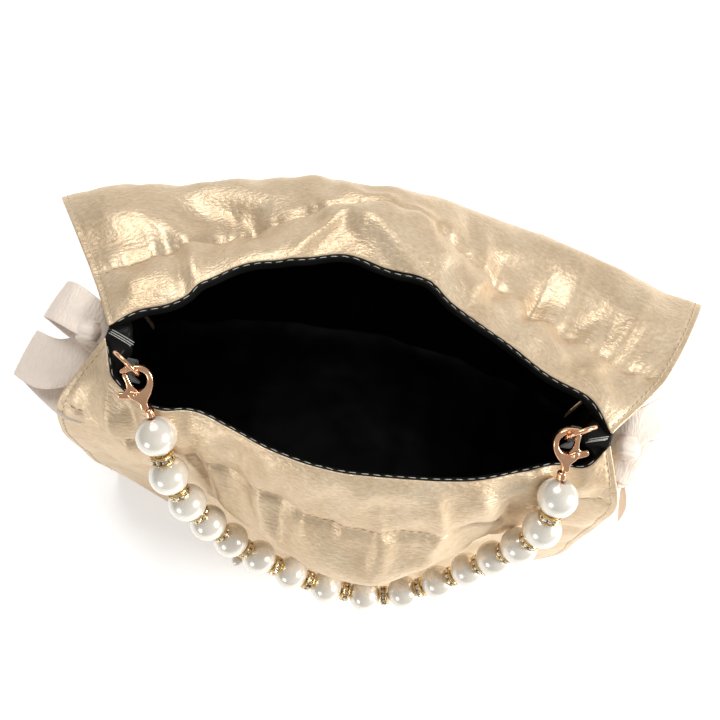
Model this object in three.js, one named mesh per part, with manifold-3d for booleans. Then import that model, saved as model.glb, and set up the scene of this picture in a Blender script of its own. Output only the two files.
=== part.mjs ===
// Satin evening bag: a soft open-topped pouch with a drawstring casing under the rim, a ribbon bow
// at each side, a black lining, and a pearl strand handle hooked to a ring at each mouth corner.
// Millimetres. +X runs along the bag's width, +Y to its back, +Z up. The origin is the middle of
// the flat underside that the bag stands on.
import * as THREE from 'three';
import { mergeVertices } from 'three/addons/utils/BufferGeometryUtils.js';
import Module from 'manifold-3d';

const wasm = await Module();
wasm.setup();

// Driving dimensions
const PANEL_THICKNESS = 1.0;
const RIBBON_WIDTH = 19;
const RIBBON_THICKNESS = 0.5;
const LINING_THICKNESS = 0.6;
const LAYER_GAP = 0.35;
const CASING_SHARE = 0.13;
const FLANGE_SHARE = 0.015;
const BOARD_THICKNESS = 1.5;
const PEARL_COUNT = 16;
const PEARL_RADIUS = 7;
const PEARL_BORE_RADIUS = 1.4;
const RONDELLE_RADIUS = 4.2;
const RONDELLE_THICKNESS = 3.2;
const WIRE_RADIUS = 0.4;
const RING_RADIUS = 5.3;
const RING_WIRE_RADIUS = 0.7;
const CLASP_THICKNESS = 3.2;
const HOOKED_WIRE = new THREE.Vector2(12.3, -0.9);
const GATE_PIVOT = new THREE.Vector2(6, 1.8);
const GATE_THICKNESS = 1.5;
const SLOT_THICKNESS = 1.9;
const CRIMP_LENGTH = 3.2;
const CRIMP_RADIUS = 1.7;
const PIN_RADIUS = 0.55;
const PIN_CLEARANCE = 0.06;
const TOUCH_GAP = 0.3;

const TAB_RADIUS = 2.4;
const TAB_THICKNESS = 0.7;
const TAB_WIDTH = 3;
const TAB_TAIL = 10;

// Middles of the tab loops, on the line that the handle swings about
const SWING_LEFT = new THREE.Vector3(-76.5, -11, 152);
const SWING_RIGHT = new THREE.Vector3(75.5, -1.5, 152);

const finish = (color, roughness, metalness) =>
  new THREE.MeshStandardMaterial({ color, roughness, metalness });
const SATIN = finish(0xe3c9a4, 0.42, 0.0);
const RIBBON = finish(0xe0d0c4, 0.5, 0.0);
const LINING = finish(0x0f0e0c, 0.35, 0.0);
const BOARD = finish(0x8a7a66, 0.9, 0.0);
const PEARL = finish(0xf1ebdd, 0.18, 0.0);
const GOLD = finish(0xc98c4e, 0.25, 1.0);
const RHINESTONE = finish(0x9a7440, 0.25, 1.0);
const STEEL_WIRE = finish(0xb8b4ac, 0.35, 1.0);
const TAPE = finish(0x161412, 0.7, 0.0);

const bag = new THREE.Group();

function addPiece(name, geometry, material, parent = bag) {
  const mesh = new THREE.Mesh(geometry, material);
  mesh.name = name;
  parent.add(mesh);
  return mesh;
}

const points = (rows) => rows.map(([x, y, z]) => new THREE.Vector3(x, y, z));
const smoothCurve = (rows) => new THREE.CatmullRomCurve3(points(rows), false, 'centripetal');

// Levels of the front and back satin panels, from the rim down to the base seam, left to right
const BASE_SEAM_Z = 1.6;
const FRONT_LEVELS = [
  [[-89, -2, 150], [-85, -11, 147.5], [-77, -20, 145.5], [-68, -22, 146], [-52, -20.5, 147],
    [-42, -23, 147.5], [-25, -28, 148.5], [-4, -30.5, 149], [18, -28.5, 149], [45, -23.5, 148],
    [62, -16.5, 146.5], [72, -12, 145], [83, -10.5, 145.5], [89, -2, 150]],
  [[-104, -24, 133], [-86, -30, 128], [-48, -34.5, 126], [0, -47, 126], [40, -42, 126],
    [60, -31, 126], [81, -20, 128], [100, -19, 133]],
  [[-108, -32, 112], [-86, -35, 108], [-52, -40, 105], [-31, -50, 104], [-5, -58, 103],
    [18, -59, 103], [36, -53, 104], [55, -41, 105], [78, -27, 107], [103, -24, 112]],
  [[-114, -35, 64], [-72, -40, 64], [-40, -46, 64], [-12, -54, 64], [8, -57, 64], [40, -49, 64],
    [72, -37, 64], [110, -29, 64]],
  [[-118, -37, 26], [-85, -43, 26], [-60, -53, 26], [-38, -66, 26], [-10, -73, 26], [12, -74, 26],
    [32, -70, 26], [50, -63, 26], [66, -54, 26], [88, -43, 26], [116, -33, 26]],
  [[-114, -38, BASE_SEAM_Z], [-60, -55, BASE_SEAM_Z], [-20, -64, BASE_SEAM_Z], [12, -66, BASE_SEAM_Z],
    [45, -61, BASE_SEAM_Z], [80, -48, BASE_SEAM_Z], [114, -36, BASE_SEAM_Z]],
];
const BACK_LEVELS = [
  [[-89, 2, 150], [-81, 9.5, 150], [-70, 15, 150], [-59, 27, 150], [-48, 35, 150.5], [-32, 40, 151],
    [-14, 46, 151], [0, 44, 151], [17, 42, 151], [27, 36, 151], [47, 27, 150.5], [65, 18, 150],
    [80, 13, 150], [89, 2, 150]],
  [[-103, 21, 140], [-92, 29, 139], [-56, 52, 132], [0, 74, 145], [32, 61, 138], [57, 48, 131],
    [93, 31, 138], [110, 29, 140]],
  [[-134, 58, 118], [-100, 71, 120], [-33, 88, 121], [11, 91, 122], [64, 85, 120], [131, 71, 118]],
  [[-140, 60, 85], [-75, 84, 85], [0, 95, 85], [70, 90, 85], [137, 70, 85]],
  [[-134, 54, 35], [-70, 72, 35], [0, 82, 35], [70, 76, 35], [131, 58, 35]],
  [[-118, 42, BASE_SEAM_Z], [-60, 56, BASE_SEAM_Z], [0, 62, BASE_SEAM_Z], [60, 56, BASE_SEAM_Z],
    [118, 42, BASE_SEAM_Z]],
];
const LEVEL_SHARES = [0, CASING_SHARE, 0.25, 0.46, 0.78, 1];

// A surface through the levels: u runs left to right, v from the rim down
function loft(levels) {
  const curves = levels.map(smoothCurve);
  return (u, v) => {
    const rail = smoothCurve(curves.map((curve) => curve.getPointAt(u).toArray()));
    let segment = LEVEL_SHARES.findIndex((share) => share > v) - 1;
    if (segment < 0) segment = LEVEL_SHARES.length - 2;
    const low = LEVEL_SHARES[segment];
    const high = LEVEL_SHARES[segment + 1];
    return rail.getPoint((segment + (v - low) / (high - low)) / (LEVEL_SHARES.length - 1));
  };
}

// The surface's point moved along its normal; outward is +1 or -1 by the way u and v turn
function offsetPoint(surface, outward, u, v, distance) {
  const step = 0.004;
  const u0 = Math.max(u - step, 0);
  const u1 = Math.min(u + step, 1);
  const v0 = Math.max(v - step, 0);
  const v1 = Math.min(v + step, 1);
  const alongU = surface(u1, v).sub(surface(u0, v));
  const alongV = surface(u, v1).sub(surface(u, v0));
  const normal = alongU.cross(alongV).normalize().multiplyScalar(outward);
  return surface(u, v).addScaledVector(normal, distance);
}

// Turns a closed geometry's faces outwards where its mapping has mirrored it
function facesOut(geometry) {
  const { index } = geometry;
  const at = (i) => new THREE.Vector3().fromBufferAttribute(geometry.attributes.position, index.getX(i));
  let volume = 0;
  for (let i = 0; i < index.count; i += 3) volume += at(i).dot(at(i + 1).cross(at(i + 2)));
  if (volume > 0) return geometry;
  for (let i = 0; i < index.count; i += 3) {
    const first = index.getX(i);
    index.setX(i, index.getX(i + 1));
    index.setX(i + 1, first);
  }
  return geometry;
}

// A closed sheet between two offsets of a surface. Its two sides have the same grid and the same
// diagonals, so that the layers of the bag's wall stay parallel
function sheet(surface, outward, [uLow, uHigh], [vLow, vHigh], offsets, columns, rows) {
  const { lerp } = THREE.MathUtils;
  const positions = [];
  for (const offset of offsets) {
    for (let j = 0; j <= rows; j += 1) {
      for (let i = 0; i <= columns; i += 1) {
        const u = lerp(uLow, uHigh, i / columns);
        const v = lerp(vLow, vHigh, j / rows);
        positions.push(...offsetPoint(surface, outward, u, v, offset).toArray());
      }
    }
  }
  const geometry = new THREE.BufferGeometry();
  geometry.setAttribute('position', new THREE.Float32BufferAttribute(positions, 3));
  geometry.setIndex(sheetFaces(columns, rows));
  geometry.computeVertexNormals();
  return facesOut(geometry);
}

// Triangles of two parallel grids of points and of the rim that joins them
function sheetFaces(columns, rows) {
  const across = columns + 1;
  const far = across * (rows + 1);
  const faces = [];
  const square = (a, b, c, d) => faces.push(a, b, c, a, c, d);
  for (let j = 0; j < rows; j += 1) {
    for (let i = 0; i < columns; i += 1) {
      const at = j * across + i;
      square(at, at + 1, at + across + 1, at + across);
      faces.push(far + at, far + at + across + 1, far + at + 1);
      faces.push(far + at, far + at + across, far + at + across + 1);
    }
  }
  const rim = (from, to) => square(to, from, far + from, far + to);
  for (let i = 0; i < columns; i += 1) {
    rim(i, i + 1);
    rim(rows * across + i + 1, rows * across + i);
  }
  for (let j = 0; j < rows; j += 1) {
    rim((j + 1) * across, j * across);
    rim(j * across + columns, (j + 1) * across + columns);
  }
  return faces;
}

const front = loft(FRONT_LEVELS);
const back = loft(BACK_LEVELS);
const FRONT_OUT = -1;
const BACK_OUT = 1;
const GUSSET_SETBACK = PANEL_THICKNESS + 1.9;
const GUSSET_FOLD = 36;

// A side gusset runs from the front panel's edge to the back panel's and folds in between them
function gusset(side) {
  const edge = side < 0 ? FLANGE_SHARE : 1 - FLANGE_SHARE;
  return (w, v) => {
    const from = offsetPoint(front, FRONT_OUT, edge, v, -GUSSET_SETBACK);
    const to = offsetPoint(back, BACK_OUT, edge, v, -GUSSET_SETBACK);
    const fold = GUSSET_FOLD * v ** 0.4 * (1 - v) ** 1.2;
    const middle = from.clone().lerp(to, 0.5);
    middle.x -= side * 2 * fold;
    return new THREE.QuadraticBezierCurve3(from, middle, to).getPoint(w);
  };
}

const RIBBON_OUTER = -(PANEL_THICKNESS + LAYER_GAP);
const RIBBON_LAYER = [RIBBON_OUTER - RIBBON_THICKNESS, RIBBON_OUTER];
const LINING_OUTER = RIBBON_LAYER[0] - LAYER_GAP;
const LINING_LAYER = [LINING_OUTER - LINING_THICKNESS, LINING_OUTER];

// The lining's grid lines fall on the panel's, so that the layers stay parallel
const COLUMNS = 22;
const ROWS = 12;
const INNER_SPAN = [1 / COLUMNS, 1 - 1 / COLUMNS];
const LINING_REACH = [0, 1 - 1 / ROWS];
const RIBBON_REACH = [0, 1 / ROWS];
const GUSSET_COLUMNS = 10;
const GUSSET_ROWS = 10;
const GUSSET_TOP = 0.05;

// The satin shell, the lining inside it and the drawstring ribbon that runs between the two
function addPanels() {
  for (const [name, surface, outward] of [['front', front, FRONT_OUT], ['back', back, BACK_OUT]]) {
    const panel = sheet(surface, outward, [0, 1], [0, 1], [-PANEL_THICKNESS, 0], COLUMNS, ROWS);
    addPiece(`${name}_panel`, panel, SATIN);
    const lining = sheet(surface, outward, INNER_SPAN, LINING_REACH, LINING_LAYER, COLUMNS - 2, ROWS - 1);
    addPiece(`${name}_lining`, lining, LINING);
    const ribbon = sheet(surface, outward, INNER_SPAN, RIBBON_REACH, RIBBON_LAYER, COLUMNS - 2, 1);
    addPiece(`${name}_ribbon`, ribbon, RIBBON);
  }
  for (const [name, side] of [['left', -1], ['right', 1]]) {
    const surface = gusset(side);
    const grid = (columns, rows) => [GUSSET_COLUMNS - columns, GUSSET_ROWS - rows];
    const row = (1 - GUSSET_TOP) / GUSSET_ROWS;
    addPiece(`${name}_gusset`,
      sheet(surface, -side, [0, 1], [GUSSET_TOP, 1], [-PANEL_THICKNESS, 0], ...grid(0, 0)), SATIN);
    const layer = [-PANEL_THICKNESS - 2 * LAYER_GAP - LINING_THICKNESS, -PANEL_THICKNESS - 2 * LAYER_GAP];
    const inner = 1 / GUSSET_COLUMNS;
    addPiece(`${name}_gusset_lining`,
      sheet(surface, -side, [inner, 1 - inner], [GUSSET_TOP + row, 1 - row], layer, ...grid(2, 2)), LINING);
  }
}

// The base's outline, inset from the panels' base seams
function baseOutline(inset, steps) {
  const shape = new THREE.Shape();
  const trim = inset / 200;
  const corner = (surface, outward, share) => {
    const point = offsetPoint(surface, outward, THREE.MathUtils.lerp(trim, 1 - trim, share), 1, -inset);
    return new THREE.Vector2(point.x, point.y);
  };
  const outline = [];
  for (let i = 0; i <= steps; i += 1) outline.push(corner(front, FRONT_OUT, i / steps));
  for (let i = steps; i >= 0; i -= 1) outline.push(corner(back, BACK_OUT, i / steps));
  return shape.setFromPoints(outline);
}

function addBase() {
  const plate = (inset, thickness) => new THREE.ExtrudeGeometry(baseOutline(inset, 10),
    { depth: thickness, bevelEnabled: false });
  const bottom = BASE_SEAM_Z - LAYER_GAP;
  addPiece('base_panel', plate(0, bottom), SATIN);
  addPiece('base_board', plate(6, BOARD_THICKNESS), BOARD).position.z = BASE_SEAM_Z;
  addPiece('base_lining', plate(6, LINING_THICKNESS), LINING)
    .position.z = BASE_SEAM_Z + BOARD_THICKNESS + LAYER_GAP;
}

function toManifold(geometry) {
  const bare = geometry.clone();
  bare.deleteAttribute('normal');
  bare.deleteAttribute('uv');
  const merged = mergeVertices(bare, 1e-4);
  return new wasm.Manifold(new wasm.Mesh({
    numProp: 3,
    vertProperties: merged.attributes.position.array,
    triVerts: Uint32Array.from(merged.index.array),
  }));
}

function toGeometry(manifold) {
  const { vertProperties, triVerts } = manifold.getMesh();
  const geometry = new THREE.BufferGeometry();
  geometry.setAttribute('position', new THREE.BufferAttribute(vertProperties, 3));
  geometry.setIndex(new THREE.BufferAttribute(triVerts, 1));
  geometry.computeVertexNormals();
  return geometry;
}

// A bow loop: a teardrop of ribbon from the knot outwards along +X, its width along Y
function ribbonLoop(length, height, width) {
  const drop = (inset) => {
    const half = height / 2 - inset;
    return new THREE.Shape()
      .moveTo(inset, 0)
      .bezierCurveTo(length * 0.3, half, length, half * 1.6, length - inset, 0)
      .bezierCurveTo(length, -half * 1.6, length * 0.3, -half, inset, 0)
      .getPoints(8)
      .slice(0, -1);
  };
  const shape = new THREE.Shape(drop(0));
  shape.holes.push(new THREE.Path(drop(2 * RIBBON_THICKNESS).reverse()));
  const loop = new THREE.ExtrudeGeometry(shape, { depth: width, bevelEnabled: false });
  return loop.translate(0, 0, -width / 2).rotateX(Math.PI / 2);
}

const KNOT_SIZE = new THREE.Vector3(9, 9, 12);
const KNOT_AT = new THREE.Vector3(99, 1, 137);
const TAIL_WIDTH = 22;
const TAIL_THICKNESS = 2;
const TAIL_ROUTE = [[0, -2], [13, -24], [23, -52], [27, -70]];

// The tails hang from the knot down the fold of the side gusset
function ribbonTails() {
  const outer = TAIL_ROUTE.map(([x, z]) => new THREE.Vector2(x + TAIL_THICKNESS / 2, z));
  const inner = TAIL_ROUTE.map(([x, z]) => new THREE.Vector2(x - TAIL_THICKNESS / 2, z)).reverse();
  const shape = new THREE.Shape([...outer, ...inner]);
  const tails = new THREE.ExtrudeGeometry(shape, { depth: TAIL_WIDTH, bevelEnabled: false });
  return tails.translate(0, 0, -TAIL_WIDTH / 2).rotateX(Math.PI / 2);
}

function addBow(name, side, loops) {
  const knot = new THREE.BoxGeometry(KNOT_SIZE.x, KNOT_SIZE.y, KNOT_SIZE.z, 2, 2, 2);
  let bow = toManifold(knot).add(toManifold(ribbonTails()));
  for (const { length, turn, lift } of loops) {
    const loop = ribbonLoop(length, 8, RIBBON_WIDTH - 2);
    bow = bow.add(toManifold(loop.rotateZ(turn).translate(1, 0, lift)));
  }
  const geometry = toGeometry(bow);
  if (side < 0) geometry.rotateZ(Math.PI).scale(1, -1, 1);
  const mesh = addPiece(name, side < 0 ? facesOut(geometry) : geometry, RIBBON);
  mesh.position.set(side * KNOT_AT.x, KNOT_AT.y, KNOT_AT.z);
}

// A black tape tab: a loop round the ring's lowest point, and a tail sewn down the front lining
function addTab(name, place) {
  const outer = TAB_RADIUS + TAB_THICKNESS;
  const half = TAB_WIDTH / 2;
  const profile = [
    [TAB_RADIUS, -half], [outer, -half], [outer, half], [TAB_RADIUS, half], [TAB_RADIUS, -half],
  ];
  const loop = new THREE.LatheGeometry(profile.map(([x, y]) => new THREE.Vector2(x, y)), 16);
  const tail = new THREE.BoxGeometry(TAB_WIDTH, TAB_THICKNESS, TAB_TAIL);
  tail.translate(0, -TAB_RADIUS - TAB_THICKNESS / 2, -TAB_TAIL / 2);
  const tab = toManifold(loop.rotateZ(Math.PI / 2)).add(toManifold(tail));
  addPiece(name, toGeometry(tab), TAPE).position.copy(place);
}

const clasp = {
  body: [[0, -1.4], [3, -1.7], [6.5, -4.4], [10, -5.6], [13.5, -5.4], [16.2, -3.4], [17, -0.4], [16.7, 2.6],
    [15.9, 4.8], [15.1, 4.6], [15.1, 2.4], [15.2, 0], [14.6, -2.2], [12.8, -3.3], [10.4, -3.3], [8.6, -2],
    [8, 0], [8, 3], [6.2, 4.2], [4.2, 3.4], [2.6, 1.7], [0, 1.4]],
  gate: [[4.9, 0.6], [6.6, 0.4], [9, 1.7], [14.5, 2.8], [14.4, 4.6], [10, 4.3], [7.6, 4.8],
    [7, 7.6], [5.4, 7.6], [4.6, 3.4]],
};

const outlineShape = (outline) => new THREE.Shape(outline.map(([x, y]) => new THREE.Vector2(x, y)));

function pinHole(shape) {
  const hole = new THREE.Path();
  hole.absarc(GATE_PIVOT.x, GATE_PIVOT.y, PIN_RADIUS + PIN_CLEARANCE, 0, 2 * Math.PI, true);
  shape.holes.push(hole);
  return shape;
}

function slab(shape, thickness) {
  const settings = { depth: thickness, bevelEnabled: false, curveSegments: 6 };
  const geometry = new THREE.ExtrudeGeometry(shape, settings);
  return geometry.translate(0, 0, -thickness / 2);
}

function claspBody() {
  const slot = new THREE.BoxGeometry(6, 7, SLOT_THICKNESS).translate(6.4, 3.1, 0);
  const whole = slab(pinHole(outlineShape(clasp.body)), CLASP_THICKNESS);
  return toGeometry(toManifold(whole).subtract(toManifold(slot)));
}

// A lobster clasp hooked over its ring, with the hook's opening side towards the bag's end
function addClasp(name, hooked, pull, face) {
  const group = new THREE.Group();
  const along = pull.clone().negate();
  const across = new THREE.Vector3(0, 0, face).cross(along).normalize();
  const normal = along.clone().cross(across);
  const basis = new THREE.Matrix4().makeBasis(along, across, normal);
  group.quaternion.setFromRotationMatrix(basis);
  const hookPoint = new THREE.Vector3(HOOKED_WIRE.x, HOOKED_WIRE.y, 0).applyQuaternion(group.quaternion);
  group.position.copy(hooked).sub(hookPoint);
  bag.add(group);
  addPiece(`${name}_clasp_hook`, claspBody(), GOLD, group);
  addPiece(`${name}_clasp_gate`, slab(pinHole(outlineShape(clasp.gate)), GATE_THICKNESS), GOLD, group);
  const pin = new THREE.CylinderGeometry(PIN_RADIUS, PIN_RADIUS, CLASP_THICKNESS, 10).rotateX(Math.PI / 2);
  addPiece(`${name}_clasp_pin`, pin, GOLD, group).position.set(GATE_PIVOT.x, GATE_PIVOT.y, 0);
  return group;
}

function facing(mesh, direction) {
  mesh.quaternion.setFromUnitVectors(new THREE.Vector3(0, 1, 0), direction.clone().normalize());
  return mesh;
}

// Closed lathe rings about the Y axis: a bored pearl, a stepped rondelle and a bored crimp bead
function pearlGeometry() {
  const reach = Math.acos(PEARL_BORE_RADIUS / PEARL_RADIUS);
  const arc = [];
  for (let i = 0; i <= 6; i += 1) {
    const angle = THREE.MathUtils.lerp(-reach, reach, i / 6);
    arc.push(new THREE.Vector2(PEARL_RADIUS * Math.cos(angle), PEARL_RADIUS * Math.sin(angle)));
  }
  return new THREE.LatheGeometry([...arc, arc[0].clone()], 10);
}

function bead(boreRadius, radius, length, rimShare) {
  const half = length / 2;
  const profile = [[boreRadius, -half], [radius * 0.7, -half], [radius, -half * rimShare],
    [radius, half * rimShare], [radius * 0.7, half], [boreRadius, half], [boreRadius, -half]];
  return new THREE.LatheGeometry(profile.map(([x, y]) => new THREE.Vector2(x, y)), 10);
}

const CLASP_PULL = {
  left: new THREE.Vector3(0.36, -0.76, -0.55),
  right: new THREE.Vector3(0.187, -0.82, -0.55),
};
const RING_LEAN = { left: new THREE.Vector3(0.87, -0.5, 0), right: new THREE.Vector3(-0.87, -0.5, 0) };
const CRIMP_START = HOOKED_WIRE.x + TOUCH_GAP;
const FIRST_PEARL = CRIMP_START + CRIMP_LENGTH + TOUCH_GAP + PEARL_RADIUS;

// A ring stands in its tab loop; the clasp holds its inner side
function addRing(side, place) {
  const lean = RING_LEAN[side].clone().normalize();
  const middle = place.clone();
  middle.z += RING_RADIUS;
  const ring = addPiece(`${side}_ring`, new THREE.TorusGeometry(RING_RADIUS, RING_WIRE_RADIUS, 6, 20), GOLD);
  const up = new THREE.Vector3(0, 0, 1);
  ring.quaternion.setFromRotationMatrix(new THREE.Matrix4().makeBasis(lean, up, lean.clone().cross(up)));
  ring.position.copy(middle);
  return middle.addScaledVector(lean, RING_RADIUS);
}

// The strand's route between its two end pearls, as it lies on the front panel
const STRAND_ROUTE = [[-58, -43.5, 129], [-47.5, -53.5, 104], [-34.5, -60.5, 82], [-16, -66.5, 66],
  [6, -70.5, 56], [29, -69.5, 54], [48, -60.5, 65], [61.5, -50, 84], [70.5, -41, 108], [75, -33.5, 128]];

function addHandle() {
  const ends = {};
  for (const [side, place, face] of [['left', SWING_LEFT, 1], ['right', SWING_RIGHT, -1]]) {
    const pull = CLASP_PULL[side].clone().normalize();
    const hooked = addRing(side, place);
    addClasp(side, hooked, pull, face);
    const crimp = addPiece(`${side}_crimp`, bead(0.8, CRIMP_RADIUS, CRIMP_LENGTH, 0.5), GOLD);
    const along = (distance) => hooked.clone().addScaledVector(pull, distance);
    facing(crimp, pull).position.copy(along(CRIMP_START + CRIMP_LENGTH / 2));
    ends[side] = [along(CRIMP_START + TOUCH_GAP), along(FIRST_PEARL - PEARL_RADIUS / 2)];
  }
  const route = [...ends.left, ...points(STRAND_ROUTE), ...ends.right.reverse()];
  const wire = new THREE.CatmullRomCurve3(route, false, 'centripetal');
  addBeads(wire, FIRST_PEARL - CRIMP_START - TOUCH_GAP);
  const section = new THREE.Shape();
  section.absarc(0, 0, WIRE_RADIUS, 0, 2 * Math.PI);
  const options = { steps: 60, bevelEnabled: false, extrudePath: wire, curveSegments: 3 };
  addPiece('strand_wire', new THREE.ExtrudeGeometry(section, options), STEEL_WIRE);
}

// Pearls at an even pitch along the wire, with a rondelle half-way between each two
function addBeads(wire, lead) {
  const length = wire.getLength();
  const pitch = (length - 2 * lead) / (PEARL_COUNT - 1);
  const place = (mesh, distance) => facing(mesh, wire.getTangentAt(distance / length))
    .position.copy(wire.getPointAt(distance / length));
  for (let i = 0; i < PEARL_COUNT; i += 1) {
    place(addPiece(`pearl_${i + 1}`, pearlGeometry(), PEARL), lead + i * pitch);
  }
  for (let i = 1; i < PEARL_COUNT; i += 1) {
    const rondelle = bead(PEARL_BORE_RADIUS, RONDELLE_RADIUS, RONDELLE_THICKNESS, 0.4);
    place(addPiece(`rondelle_${i}`, rondelle, RHINESTONE), lead + (i - 0.5) * pitch);
  }
}

addPanels();
addBase();
addBow('left_bow', -1, [{ length: 19, turn: 0.52, lift: 4 }, { length: 26, turn: -0.35, lift: -3 }]);
addBow('right_bow', 1, [{ length: 16, turn: 0.6, lift: 4 }, { length: 15, turn: -0.5, lift: -3 }]);
addTab('left_tab', SWING_LEFT);
addTab('right_tab', SWING_RIGHT);
addHandle();

export default bag;
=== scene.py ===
"""Looks of the satin evening bag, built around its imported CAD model. Metres, +X along the bag's
width, +Y to its back, +Z up, origin in the middle of the flat underside."""
import math

import bmesh
import bpy
import numpy as np
from mathutils import Matrix, Vector


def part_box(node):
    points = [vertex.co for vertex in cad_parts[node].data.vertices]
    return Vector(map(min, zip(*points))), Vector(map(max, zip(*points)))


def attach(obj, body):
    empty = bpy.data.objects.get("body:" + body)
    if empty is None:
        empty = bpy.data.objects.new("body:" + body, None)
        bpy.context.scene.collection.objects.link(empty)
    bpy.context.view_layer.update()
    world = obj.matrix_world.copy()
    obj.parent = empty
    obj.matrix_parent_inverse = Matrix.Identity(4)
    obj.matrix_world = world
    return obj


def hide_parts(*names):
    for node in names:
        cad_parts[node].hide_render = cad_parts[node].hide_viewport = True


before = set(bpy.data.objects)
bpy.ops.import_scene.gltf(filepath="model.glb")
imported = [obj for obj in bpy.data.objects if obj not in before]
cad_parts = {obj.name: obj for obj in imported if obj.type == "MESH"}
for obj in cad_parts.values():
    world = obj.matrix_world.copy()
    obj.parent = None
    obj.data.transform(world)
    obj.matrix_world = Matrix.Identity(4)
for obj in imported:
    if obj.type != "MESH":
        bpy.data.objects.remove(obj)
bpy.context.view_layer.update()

MM = 0.001

def placed(name, data):
    """An object for the data, linked into the scene."""
    made = bpy.data.objects.new(name, data)
    bpy.context.scene.collection.objects.link(made)
    return made


# ---- camera

CAMERA_AT = (-1.5, -57.6, 398.4)
CAMERA_ELEVATION = 75
CAMERA_ROLL = 12.16
CAMERA_LENS = 37.05


def add_camera():
    camera = bpy.data.cameras.new("camera")
    camera.lens = CAMERA_LENS
    camera.sensor_width = 36
    camera.clip_start = 0.01
    holder = placed("camera", camera)
    tilt = Matrix.Rotation(math.radians(90 - CAMERA_ELEVATION), 4, "X")
    roll = Matrix.Rotation(math.radians(CAMERA_ROLL), 4, "Z")
    holder.matrix_world = Matrix.Translation(Vector(CAMERA_AT) * MM) @ tilt @ roll
    bpy.context.scene.camera = holder


add_camera()

# ---- node helpers


def new_material(name):
    made = bpy.data.materials.new(name)
    made.use_nodes = True
    tree = made.node_tree
    return made, tree, tree.nodes["Principled BSDF"]


def fill(tree, made, inputs):
    """Links each input that is given a socket, and sets the others."""
    for key, value in inputs.items():
        if isinstance(value, bpy.types.NodeSocket):
            tree.links.new(value, made.inputs[key])
        else:
            made.inputs[key].default_value = value


def node(tree, kind, inputs, **settings):
    made = tree.nodes.new(kind)
    for key, value in settings.items():
        setattr(made, key, value)
    fill(tree, made, inputs)
    return made


def stretched(tree, scale=(1, 1, 1), space="Object"):
    coordinates = node(tree, "ShaderNodeTexCoord", {})
    return node(tree, "ShaderNodeMapping", {"Vector": coordinates.outputs[space], "Scale": scale}).outputs[0]


def noise(tree, vector, scale, detail=2.0, roughness=0.5):
    return node(tree, "ShaderNodeTexNoise",
                {"Vector": vector, "Scale": scale, "Detail": detail, "Roughness": roughness}).outputs["Fac"]


def ramp(tree, value, low, high):
    """From low to high over the middle of a noise, which seldom leaves it."""
    return node(tree, "ShaderNodeMapRange",
                {"Value": value, "From Min": 0.3, "From Max": 0.7, "To Min": low, "To Max": high}).outputs[0]


def mixed(tree, factor, first, second):
    return node(tree, "ShaderNodeMix", {"Factor": factor, "A": (*first, 1), "B": (*second, 1)},
                data_type="RGBA").outputs["Result"]


def bumped(tree, layers):
    """A chain of bumps; each layer is (height socket, strength, distance in metres)."""
    normal = None
    for height, strength, distance in layers:
        inputs = {"Height": height, "Strength": strength, "Distance": distance}
        if normal is not None:
            inputs["Normal"] = normal
        normal = node(tree, "ShaderNodeBump", inputs).outputs[0]
    return normal


# ---- materials


def woven_satin(name, pale, deep, rough, grain, metallic, sheen):
    """Satin: fine crossways grain, a pebbly crepe, and large patches of painted light and shade in its colour."""
    made, tree, shader = new_material(name)
    uv = stretched(tree, space="UV")
    weft = stretched(tree, (0.35, 1, 1), "UV")
    light_and_shade_noise = noise(tree, uv, 45, 3)
    speck = noise(tree, weft, 1150, 2, 0.6)
    pebble = noise(tree, uv, 420, 2)
    # Painted light and shade: large noise patches mix the pale colour, standing for lit satin, with the deep colour,
    # standing for shaded satin.
    color = mixed(tree, ramp(tree, light_and_shade_noise, 0, 1), deep, pale)
    flecked = node(tree, "ShaderNodeMix",
                   {"Factor": ramp(tree, speck, 0.0, grain), "A": color, "B": (0.72, 0.62, 0.5, 1)},
                   data_type="RGBA", blend_type="MULTIPLY")
    roughness = ramp(tree, pebble, rough - 0.05, rough + 0.07)
    normal = bumped(tree, [(pebble, 0.4, 0.0005), (speck, 0.75, 0.0004)])
    fill(tree, shader, {"Base Color": flecked.outputs["Result"], "Roughness": roughness, "Normal": normal,
                        "Metallic": metallic, "Specular IOR Level": 0.6, "Specular Tint": (1.0, 0.92, 0.8, 1),
                        "Sheen Weight": sheen, "Sheen Roughness": 0.4, "Sheen Tint": (1.0, 0.93, 0.82, 1)})
    return made


def lining_cloth():
    made, tree, shader = new_material("lining_cloth")
    uv = stretched(tree, space="UV")
    light_and_shade_noise = noise(tree, uv, 30, 2)
    thread = noise(tree, stretched(tree, (1, 0.3, 1), "UV"), 1800, 1)
    # Painted shade: the noise that raises the folds also colours the lining darker in their hollows and lighter on
    # their crests.
    color = mixed(tree, ramp(tree, light_and_shade_noise, 0, 1), (0.004, 0.004, 0.0035), (0.011, 0.0105, 0.009))
    normal = bumped(tree, [(light_and_shade_noise, 0.5, 0.004), (thread, 0.2, 0.0001)])
    fill(tree, shader, {"Base Color": color, "Roughness": ramp(tree, light_and_shade_noise, 0.28, 0.42), "Normal": normal,
                        "Specular IOR Level": 0.16})
    return made


def plain_thread(name, pale, deep, rough=0.55):
    made, tree, shader = new_material(name)
    twist = noise(tree, stretched(tree), 2500, 1)
    fill(tree, shader, {"Base Color": mixed(tree, ramp(tree, twist, 0, 1), deep, pale), "Roughness": rough,
                        "Normal": bumped(tree, [(twist, 0.5, 0.0001)]), "Sheen Weight": 0.3})
    return made


def polished(name, pale, deep, rough):
    made, tree, shader = new_material(name)
    where = stretched(tree)
    cloud = noise(tree, where, 220, 3)
    scratch = noise(tree, stretched(tree, (1, 1, 0.08)), 3000, 2)
    fill(tree, shader, {"Base Color": mixed(tree, ramp(tree, cloud, 0, 1), deep, pale), "Metallic": 1.0,
                        "Roughness": ramp(tree, cloud, rough, rough + 0.1),
                        "Normal": bumped(tree, [(scratch, 0.12, 0.00005)])})
    return made


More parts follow.
